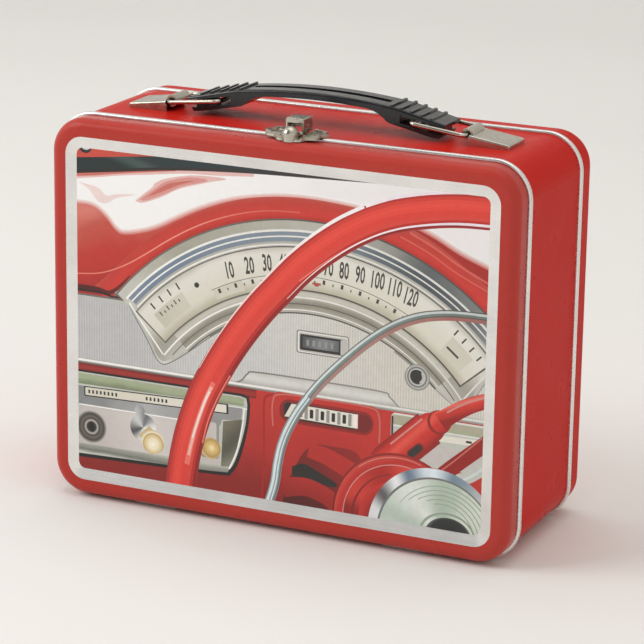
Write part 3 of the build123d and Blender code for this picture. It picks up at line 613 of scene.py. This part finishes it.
# silver pinstriped panel, behind the instruments
paint(SILVER_LINE, slab(0, -7.7, 2 * WIDE, 29.6, 0.4))
paint(SILVER, slab(0, -7.8, 2 * WIDE, 28.2, 0.4))
paint(PINSTRIPE, slab(0, -7.4, 2 * WIDE, 25.0, 0.4), circle_points(*DIAL, 75, 40, 140))
strip_edge = [(-17.4, -20.6), (-14.4, -19.0), (-12.0, -16.2), (-8, -14.9), (20, -14.7), (45.6, -15.0),
              (49.2, -16.7), (53.6, -20.6)]
paint(SILVER, [*smooth(strip_edge), (53.6, -22), (-17.4, -22)])
paint(SILVER_LINE, ribbon(strip_edge, 0.3, 0.35))
paint(BEZEL_LINE, slab(0, -20.8, 2 * WIDE, 0.9, 0.3))
paint(SILVER_LINE, slab(0, -21.9, 2 * WIDE, 0.5, 0.2))

# instrument cluster: frame with a pointed corner at each end, then its rings
for side in (-1, 1):
    corner = [(DIAL[0] + side * x, z) for x, z in [(86.5, 9.0), (81.0, 7.0), (76.5, 0.5), (70.5, -9.0),
                                                   (67.6, -14.4), (64.8, -16.8), (61.0, -15.4), (54, -10.6),
                                                   (44, -2.8), (36, 2.4)]]
    paint(SILVER_LINE, ribbon(corner, 0.9, 0.9))
    paint(BEZEL, smooth(corner) + [(DIAL[0] + side * 60, 30)])
    paint(SILVER, ribbon(corner[1:9], 0.5, 0.5))
paint(BEZEL_SHADE, band(99, 111.4, 138.0, 140.6), arc(73.6, 78, 44, 136))
paint(CHROME_OUTER, arc(100, 110.7, 38, 140.2))
paint(BEZEL_LINE, band(106.2, 107.2, 139.4, 139.4))
paint(CHROME_BLUE, band(102.2, 106.3, 138.6, 139.0))
paint(BEZEL_LINE, band(104.1, 104.7, 138.8, 138.8))
paint(BEZEL, band(79.4, 102.4, 143.2, 138.9))
paint(BEZEL_LOW, arc(74.2, 84.0, 44, 136.0))
paint(BEZEL_LINE, band(79.9, 80.6, 143.0, 143.0), band(100.9, 101.5, 138.8, 138.8), arc(75.0, 75.5, 44, 136))
for side in (-1, 1):
    paint(BEZEL_LINE, ribbon([(DIAL[0] + side * 79.6, 6.0), (DIAL[0] + side * 77.6, 3.0),
                              (DIAL[0] + side * 64.6, -13.4)], 0.35, 0.35))
paint(BEZEL_SHADE, arc(77.4, 77.8, 38, 141), arc(82.8, 100.5, 40.2, 140.0))
paint(DIAL_FACE, arc(83.5, 100.0, 40.6, 139.6))

# side gauges, ticks and numbers
paint(DIAL_INSET, arc(87.0, 94.2, 126.6, 136.8), arc(86.4, 94.4, 43.6, 50.8),
      arc(84.6, 88.9, 109.6, 118.6))
for step in range(6):
    angle = 128.4 + 1.3 * step
    paint(DIAL_MARK, arc(91.4, 93.4 if step % 2 else 92.6, angle, angle + 0.32))
for step in range(4):
    angle = 126.6 + 2.9 * step
    paint(DIAL_MARK, arc(95.4, 98.4, angle, angle + 0.42))
    angle = 42.8 + 2.6 * step
    paint(DIAL_MARK, arc(95.2, 98.0, angle, angle + 0.40))
paint(DIAL_MARK, circle_points(-34.6, 17.2, 1.1))
paint(DIAL_MARK, ribbon([(72.4, 6.8), (77.2, 2.9)], 0.45, 0.45, 2))
for step in range(23):
    angle = 116.8 + (61.0 - 116.8) * step / 22
    half = 0.36 if step % 2 == 0 else 0.16
    paint(DIAL_MARK, arc(86.6, 88.4 if step % 2 == 0 else 87.6, angle - half, angle + half))
paint(BEZEL_SHADE, arc(88.9, 89.15, 60.6, 119.0))
paint(DIAL_RED, arc(86.0, 86.9, 87.2, 89.6), arc(85.4, 86.1, 87.8, 89.0))
# number, place and lean in degrees; the wheel hides the 50
DIAL_NUMBERS = [(10, -20.4, 25.2, 13), (20, -11.6, 28.2, 9), (30, -4.0, 30.2, 6), (40, 3.2, 31.2, 4),
                (60, 16.2, 31.9, 0), (70, 22.4, 31.6, -1), (80, 29.0, 31.2, -2), (90, 35.8, 30.4, -4),
                (100, 43.0, 29.2, -6), (110, 50.2, 27.2, -9), (120, 57.0, 24.4, -13)]
for number, at_x, at_z, lean in DIAL_NUMBERS:
    for face in digits(str(number), at_x, at_z, lean):
        paint(DIAL_MARK, face)

# distance window and the knob hole
paint(SILVER_LINE, slab(20.4, 0.4, 22.4, 9.4, 1.0))
paint(BEZEL_LINE, slab(20.4, 0.4, 21.4, 8.4, 0.8))
paint(SILVER, slab(20.6, 0.3, 20.6, 7.6, 0.7))
paint(BLACK_INK, slab(20.0, 0.3, 18.6, 6.4, 0.6))
paint(WINDOW, slab(19.6, 0.4, 15.6, 4.4, 0.3))
for step in range(5):
    paint(PALE_SHADE, slab(14.0 + 2.6 * step, 0.3, 1.1, 2.4, 0.3))
paint(SILVER, slab(28.8, 0.3, 1.5, 6.0, 0.4))
paint(SILVER_LINE, circle_points(60.5, -7.1, 5.3))
paint(KNOB_DARK, circle_points(60.5, -7, 5.0))
paint(BLACK_INK, circle_points(60.1, -6.7, 2.6))
paint(SILVER, ribbon([(61.8, -9.4), (63.0, -7.4), (62.6, -5.0)], 0.5, 0.5))

# lower dash and the left control panel
paint(RED_DEEP, [(-WIDE, -22.2), (WIDE, -22.2), (WIDE, -TALL), (-WIDE, -TALL)])
paint(RED_STRIP, slab(-50, -24.0, 84, 3.6, 0.5))
paint(BLACK_INK, [(-WIDE, -62.6), *smooth([(-WIDE, -62.6), (-60, -61.4), (-24, -60.2), (-18.4, -58.4),
                                           (-14.6, -51), (-11.4, -38), (-10.6, -29)]), (-11.2, -25.6),
                  (-14, -24.8), (-WIDE, -25.2)])
paint(CHROME_ROW, [(-WIDE, -61.0), *smooth([(-WIDE, -61.0), (-60, -60.0), (-25, -58.9), (-19.6, -57.2),
                                            (-16.0, -50), (-12.8, -38), (-11.9, -29)]), (-12.4, -26.4),
                   (-15, -25.8), (-WIDE, -26.0)])
paint(GREEN, [(-WIDE, -31.2), (-13.4, -29.8), (-13.2, -27.0), (-15, -26.4), (-WIDE, -26.6)])
paint(BEZEL_LINE, slab(-50, -31.4, 76, 0.6, 0.2, 0.9))
paint(PALE_SHADE, [(-WIDE, -40.4), (-WIDE, -31.9), (-14.0, -30.8), (-14.6, -36.0), (-23, -36.8),
                   (-24, -39.6)])
paint(BLACK_INK, slab(-53.0, -33.0, 65.4, 4.2, 0.4, 1.7))
paint(CREAM, slab(-53.0, -33.0, 64.4, 3.3, 0.4, 1.7))
paint(BLACK_INK, slab(-20.8, -32.0, 0.7, 3.8, 0.2, 1.7))
paint(CREAM, slab(-22.6, -32.1, 2.6, 3.3, 0.3, 1.7))
for start_x, count in ((-83.4, 8), (-57.0, 6)):
    for step in range(count):
        mark_x = start_x + 1.78 * step
        paint(DIAL_MARK, slab(mark_x, -33.0 + 0.03 * (mark_x + 53), 0.85, 1.5, 0.15, 1.7))
paint(PALE, [(-WIDE, -56.6), (-24.0, -55.6), (-23.8, -46), (-24.6, -39.8), (-WIDE, -39.6)])
paint(BEZEL_LINE, slab(-57, -39.7, 62, 0.5, 0.2, 0.3))
paint(OLIVE, [(-23.4, -56.4), (-19.4, -56.0), (-15.8, -47), (-13.8, -35.4), (-22.6, -37.4)])
paint(BEZEL_LINE, ribbon([(-19.8, -57.0), (-16.4, -49.0), (-14.2, -39.0), (-13.2, -30.6)], 0.35, 0.35))
paint(LOCK, circle_points(-82.4, -48.8, 6.9))
paint(BLACK_INK, slab(-82.3, -48.8, 1.2, 4.4, 0.5, 8))
paint(KNOB_BASE, circle_points(-58.6, -45.6, 5.9), circle_points(-60.2, -38.6, 2.3))
paint(KNOB_CREAM, ribbon([(-58.2, -46.6), (-54.6, -50.4)], 3.4, 3.4, 3))
paint(KNOB_CREAM, circle_points(-54.2, -51.0, 5.1))
paint(PALE_SHADE, slab(-28.4, -46.0, 8.2, 15.5, 1.4))
paint(PALE, slab(-28.8, -45.6, 6.6, 14.2, 1.2))
paint(KNOB_CREAM_B, circle_points(-28.0, -49.6, 4.5))

# middle of the lower dash
paint(RED_SHADE, smooth([(3, -TALL), (5, -62), (9, -52), (14, -43.6), (21, -39.8), (32, -40.4), (38, -46),
                         (38, -TALL)]))
paint(RED_DEEP, ribbon([(15, -43.4), (24, -45.4), (36, -50.6)], (3.0, 4.0), (3.2, 4.0)))
paint(BLACK_INK, smooth([(8, -51.4), (13, -49.6), (18, -51.4), (27, -55.4), (26, -57.4), (18, -56.4),
                         (9, -55.4), (8, -51.4)]))
paint(RED_DEEP, ribbon([(4, -60.5), (14, -58.6), (24, -61.6), (30, -67)], (3.4, 3.0), (4.5, 4.0)))
paint(RED_LIP, ribbon([(-5.4, -TALL), (-4.4, -46), (-4.6, -28), (-2.6, -23.6), (6, -22.3)], 0.5, 0.5))
paint(RED_DEEP, slab(22, -31, 47, 19.0, 4.0))
paint(BLUSH[4], ribbon([(-0.6, -36), (-0.8, -26), (3, -22.4), (22, -21.9), (41, -22.2), (45.0, -25.6),
                        (45.2, -36)], 0.35, 0.35))
paint(RED_SHADE, slab(22.4, -28.9, 40.5, 9.6, 4.4, -0.5))
paint(RED_STRIP, slab(22.8, -28.9, 38.0, 7.6, 3.6, -0.5))
paint(BLACK_INK, slab(20.0, -28.7, 31.6, 6.6, 1.6, -0.5))
paint(CREAM, [(4.4, -31.2), (36.0, -31.6), (36.0, -25.8), (7.4, -25.6)])
for step in range(5):
    paint(BLACK_INK, slab(11.4 + 4.7 * step, -28.6, 1.5, 3.6, 0.3, -0.5))
    paint(PALE_SHADE, slab(13.8 + 4.7 * step, -28.6, 1.4, 5.0, 0.3, -0.5))
paint(EDGE_WHITE, slab(34.8, -28.7, 1.4, 5.2, 0.3))

# right-hand switch row
paint(CHROME_ROW, slab(74, -32.6, 48, 20, 2))
paint(GREEN, slab(74, -25.4, 46, 3.8, 0.6))
paint(BEZEL_LINE, slab(74, -23.0, 46, 0.6, 0.2), slab(74, -27.7, 46, 0.6, 0.2))
paint(CREAM, slab(80, -30.0, 30, 2.6, 0.4, 1.0))
paint(PALE, slab(76, -37.4, 42, 8.2, 0.8))
paint(BLACK_INK, slab(50.6, -31, 0.8, 14.0, 0.3), slab(82.6, -29.9, 2.4, 0.9, 0.2))
paint(CHROME_ROW, ribbon([(78, -46), (84, -43.4), (WIDE, -35)], 2.4, 2.4))
paint(RING_WHITE, ribbon([(80, -46), (85, -43), (WIDE, -35.4)], 0.7, 0.3))

# stalks, column collar and hub
paint(RED_SHADE, ribbon([(48, -44.0), (66, -26.8)], 7.2, 7.2, 4))
paint(STALK, ribbon([(46, -45.6), (65.4, -27.4)], 6.6, 6.4, 4))
paint(STALK, circle_points(66.6, -26.4, 6.0))
paint(RED_SHADE, circle_points(70.0, -23.8, 4.9))
paint(STALK, circle_points(70.8, -23.4, 4.5))
paint(STALK_B, ribbon([(70.6, -23.6), (76, -19.4), (84, -14.6), (WIDE, -10.8)], (3.8, 2.9), (3.6, 2.9)))
paint(BLUSH[3], ribbon([(73.2, -19.4), (78, -16.2), (85, -12.6), (WIDE, -9.4)], 0.35, 0.35),
      ribbon([(50, -35.6), (63, -23.4)], 0.3, 0.4, 4))
paint(RED_SHADE, slab(60.6, -36.8, 8.4, 4.0, 1.9, 42))
paint(BLACK_INK, slab(60.4, -36.9, 7.2, 2.9, 1.4, 42))
paint(STALK, ribbon([(70, -47), (78, -39.4), (WIDE, -25.4)], (3.2, 3.0), (3.2, 3.0)))
paint(BLUSH[4], ribbon([(71, -43.6), (78, -37.2), (88, -27.4)], 0.3, 0.3))
paint(RED_SHADE, circle_points(54.0, -67.2, 28.2, 0, 200))
paint(COLLAR_RED, circle_points(*COLLAR, 27.6, 0, 200))
paint(COLLAR_ROUND, sector(*COLLAR, 17.0, 23.6, 20, 190))
paint(BLUSH[3], sector(*COLLAR, 23.5, 23.9, 60, 185), sector(*COLLAR, 26.6, 26.9, 70, 130))
paint(RED_SHADE, sector(*COLLAR, 19.4, 20.2, 100, 190))
paint(HUB_RIM, circle_points(69.0, -70.8, 28.0, -10, 190))
paint(RING_DARK, circle_points(70.0, -71.6, 25.2, -10, 190))
paint(HUB, circle_points(70.2, -71.8, 24.6, -10, 190))
for radius in (21.4, 19.6, 17.8, 16.0, 14.2):
    paint(HUB_RING, sector(72.2, -70.8, radius - 0.35, radius, -5, 150 - 6 * (22 - radius)))
paint(HUB_RING, circle_points(74.6, -69.4, 11.8, 0, 180, 0.8))
paint(HUB, circle_points(74.8, -69.6, 11.0, 0, 180, 0.8))
paint(HUB_HOLE, circle_points(75.0, -69.8, 9.8, 0, 180, 0.8))

# horn ring, then the wheel rim on top
ring = [(-3.6, -TALL), (0.2, -60.5), (1.5, -51.7), (3.1, -44), (5.8, -36.7), (10, -28.8), (14.6, -22.0),
        (20.6, -14.4), (30, -4.6), (40, 4.6), (50, 11.8), (60, 16.6), (70, 19.0), (80, 19.9), (WIDE, 20.0)]
strips(ring, 2.0, 4.2,
       [RING_DARK, RING_WHITE, RING_WHITE, RING_TEAL, RING_TEAL, RING_DARK, RING_RED, RING_RED, RING_RED])
strips(ring[:7], 1.9, 3.8, [RING_TEAL, RING_WHITE, RING_WHITE, RING_TEAL, RING_WHITE, RING_TEAL, RING_DARK])
rim = [(-42.8, -TALL - 4), (-40.6, -60), (-37.4, -45), (-32.4, -30), (-27.6, -20), (-21.6, -9.4),
       (-14.4, 1.4), (-6.6, 11.6), (1.0, 20.2), (10, 30.0), (20, 38.8), (30, 46.0), (40, 51.6), (50, 55.6),
       (60, 58.2), (70, 60.0), (80, 61.0), (WIDE, 61.4)]
paint(TUBE_LINE, ribbon(rim, 6.9, 6.9))
strips(rim, 6.5, 13.0, TUBE)
paint(SHINE[0], ribbon([(-39.0, -58), (-35.6, -44), (-31.0, -31), (-26.8, -22)], (1.0, 1.2), (1.4, 0.8)))
paint(SHINE[1], ribbon([(-38.2, -54), (-35.2, -43), (-31.0, -31), (-27.6, -24)], (0.4, 0.9), (0.8, 0.4)))
paint(SHINE[2], ribbon([(-36.4, -46.5), (-33.8, -38.6), (-30.6, -30.4), (-28.4, -26.0)], (0.3, 0.6),
                       (0.4, 0.2)))
paint(SHINE[0], ribbon([(-31.8, -48), (-29.2, -38), (-25.0, -28), (-19.6, -18)], 0.35, 0.35),
      ribbon([(10, 24.6), (22, 34.4), (34, 42.4), (46, 48.6)], 0.3, 0.3))
paint(EDGE_WHITE, ribbon(rim[4:13], (6.7, 7.5), (-6.5, -6.0)), ribbon(rim[12:], (7.5, 6.9), (-6.0, -6.2)))
paint(EDGE_WHITE, ribbon(rim[8:], (-5.1, -4.8), (5.3, 5.9)))


def printed_sheet():
    """The picture as one closed sheet, its face cut into the regions of each ink."""
    outline = slab(0, 0, PANEL_W, PANEL_H, PANEL_R)
    shapes = [outline] + [shape for _, shape in art]
    points, faces = [], []
    for shape in shapes:
        loop = shape if area(shape) > 0 else shape[::-1]
        faces.append(list(range(len(points), len(points) + len(loop))))
        points.extend(Vector(p) for p in loop)
    all_triangles, merge = 0, 1e-4
    flat, _, triangles, _, _, owners = delaunay_2d_cdt(points, [], faces, all_triangles, merge)
    slots = {}
    front_y = panel_low[1]
    back_y = panel_high[1]
    build = bmesh.new()
    corners = {}

    def corner(index):
        if index not in corners:
            p = flat[index]
            corners[index] = build.verts.new(((p.x + PANEL_X) * MM, front_y, (p.y + PANEL_Z) * MM))
        return corners[index]

    for triangle, owner in zip(triangles, owners):
        if 0 not in owner:
            continue
        top = max(owner)  # 0 is the outline, then the shapes in the order they were painted
        material = art[top - 1][0] if top else TIN
        face = build.faces.new([corner(i) for i in triangle])
        face.material_index = slots.setdefault(material.name, len(slots))
    open_edges = [edge for edge in build.edges if edge.is_boundary]
    tin_slot = slots.setdefault(TIN.name, len(slots))
    grown = bmesh.ops.extrude_edge_only(build, edges=open_edges)["geom"]
    for item in grown:
        if isinstance(item, bmesh.types.BMVert):
            item.co.y = back_y
        if isinstance(item, bmesh.types.BMFace):
            item.material_index = tin_slot
    back_edges = [item for item in grown if isinstance(item, bmesh.types.BMEdge) and item.is_boundary]
    for face in bmesh.ops.contextual_create(build, geom=back_edges)["faces"]:
        face.material_index = tin_slot
    bmesh.ops.recalc_face_normals(build, faces=build.faces)
    mesh = bpy.data.meshes.new("printed_picture")
    build.to_mesh(mesh)
    build.free()
    for name in slots:
        mesh.materials.append(bpy.data.materials[name])
    sheet = bpy.data.objects.new("printed_picture", mesh)
    bpy.context.collection.objects.link(sheet)
    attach(sheet, "lid")
    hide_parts("picture_panel")


printed_sheet()


# ---------------------------------------------------------------- floor, light, camera
def pale_floor():
    """Matt off-white, very slightly cloudy."""
    g = Graph("pale_floor")
    cloud = g.noise(1.5, 3.0)
    g.base(g.mix(g.spread(cloud, *MIDDLE), (0.79, 0.785, 0.765), (0.83, 0.825, 0.805)))
    g.roughness(0.85)
    return g.mat


def backdrop():
    """A floor that curves up into a wall well behind the box."""
    front, bend, radius, top, half_width = -1.6, 1.1, 0.8, 3.0, 3.0
    steps = 12
    profile = [(front, 0.0), (bend, 0.0)]
    for step in range(1, steps + 1):
        angle = math.pi / 2 * step / steps
        profile.append((bend + radius * math.sin(angle), radius - radius * math.cos(angle)))
    profile.append((bend + radius, top))
    mesh = bpy.data.meshes.new("floor")
    verts = [(x, y, z) for y, z in profile for x in (-half_width, half_width)]
    faces = [(2 * i, 2 * i + 1, 2 * i + 3, 2 * i + 2) for i in range(len(profile) - 1)]
    mesh.from_pydata(verts, [], faces)
    for polygon in mesh.polygons:
        polygon.use_smooth = True
    floor = bpy.data.objects.new("floor", mesh)
    bpy.context.collection.objects.link(floor)
    mesh.materials.append(pale_floor())


def area_light(name, place, target, size, power, colour=(1, 1, 1)):
    """A soft rectangular lamp at place, facing target. power is in watts."""
    data = bpy.data.lights.new(name, "AREA")
    data.shape = "RECTANGLE"
    data.size, data.size_y = size
    data.energy = power
    data.color = colour
    lamp = bpy.data.objects.new(name, data)
    lamp.location = place
    lamp.rotation_euler = (Vector(target) - Vector(place)).to_track_quat("-Z", "Y").to_euler()
    bpy.context.collection.objects.link(lamp)


def camera():
    """The photograph's view. Its angles are in radians, its place in metres and its lens in millimetres."""
    yaw, pitch, roll = 0.43057, 0.28232, 0.01622
    place = (0.47313, -1.02609, 0.40421)
    lens, sensor = 163.18, 36.0
    forward = Vector((-math.sin(yaw) * math.cos(pitch), math.cos(yaw) * math.cos(pitch), -math.sin(pitch)))
    right = Vector((math.cos(yaw), math.sin(yaw), 0.0))
    up = right.cross(forward)
    right_rolled = math.cos(roll) * right + math.sin(roll) * up
    up_rolled = -math.sin(roll) * right + math.cos(roll) * up
    data = bpy.data.cameras.new("camera")
    data.sensor_width = sensor
    data.lens = lens
    eye = bpy.data.objects.new("camera", data)
    turn = Matrix((right_rolled, up_rolled, -forward)).transposed().to_4x4()
    eye.matrix_world = Matrix.Translation(place) @ turn
    bpy.context.collection.objects.link(eye)
    bpy.context.scene.camera = eye
    bpy.context.scene.view_settings.view_transform = "Standard"


def surroundings():
    """Soft room light: bright and cool on the left, dimmer and warm on the right, darker above the camera."""
    world = bpy.data.worlds.new("world")
    world.use_nodes = True
    tree = world.node_tree
    direction = tree.nodes.new("ShaderNodeTexCoord").outputs["Generated"]

    def toward(aim, low, high):
        """How far the direction points along aim, from 0 at low to 1 at high."""
        along = tree.nodes.new("ShaderNodeVectorMath")
        along.operation = "DOT_PRODUCT"
        along.inputs[1].default_value = Vector(aim).normalized()
        tree.links.new(direction, along.inputs[0])
        spread = tree.nodes.new("ShaderNodeMapRange")
        spread.inputs["From Min"].default_value = low
        spread.inputs["From Max"].default_value = high
        tree.links.new(along.outputs["Value"], spread.inputs["Value"])
        return spread.outputs["Result"]

    def blended(factor, a, b):
        """Two colours, each an output or an (r, g, b)."""
        node = tree.nodes.new("ShaderNodeMix")
        node.data_type = "RGBA"
        tree.links.new(factor, node.inputs[0])
        for socket, value in ((node.inputs[6], a), (node.inputs[7], b)):
            if isinstance(value, tuple):
                socket.default_value = (*value, 1.0)
            else:
                tree.links.new(value, socket)
        return node.outputs[2]

    left_cool, right_warm, dark = (1.02, 1.01, 1.0), (0.77, 0.72, 0.655), (0.15, 0.147, 0.143)
    sides = blended(toward((1, 0.2, 0), -0.6, 0.9), left_cool, right_warm)
    colour = blended(toward((-0.35, -0.70, 0.62), 0.74, 0.93), sides, dark)
    tree.links.new(colour, tree.nodes["Background"].inputs["Color"])
    tree.nodes["Background"].inputs["Strength"].default_value = 0.97
    bpy.context.scene.world = world


backdrop()
camera()
area_light("key", (-1.35, -0.9, 1.25), (0, 0, 0.08), (1.0, 1.0), 17.0, (1.0, 0.99, 0.97))
area_light("top", (0.1, 0.1, 1.7), (0, 0, 0.05), (1.6, 1.2), 5.5)
surroundings()
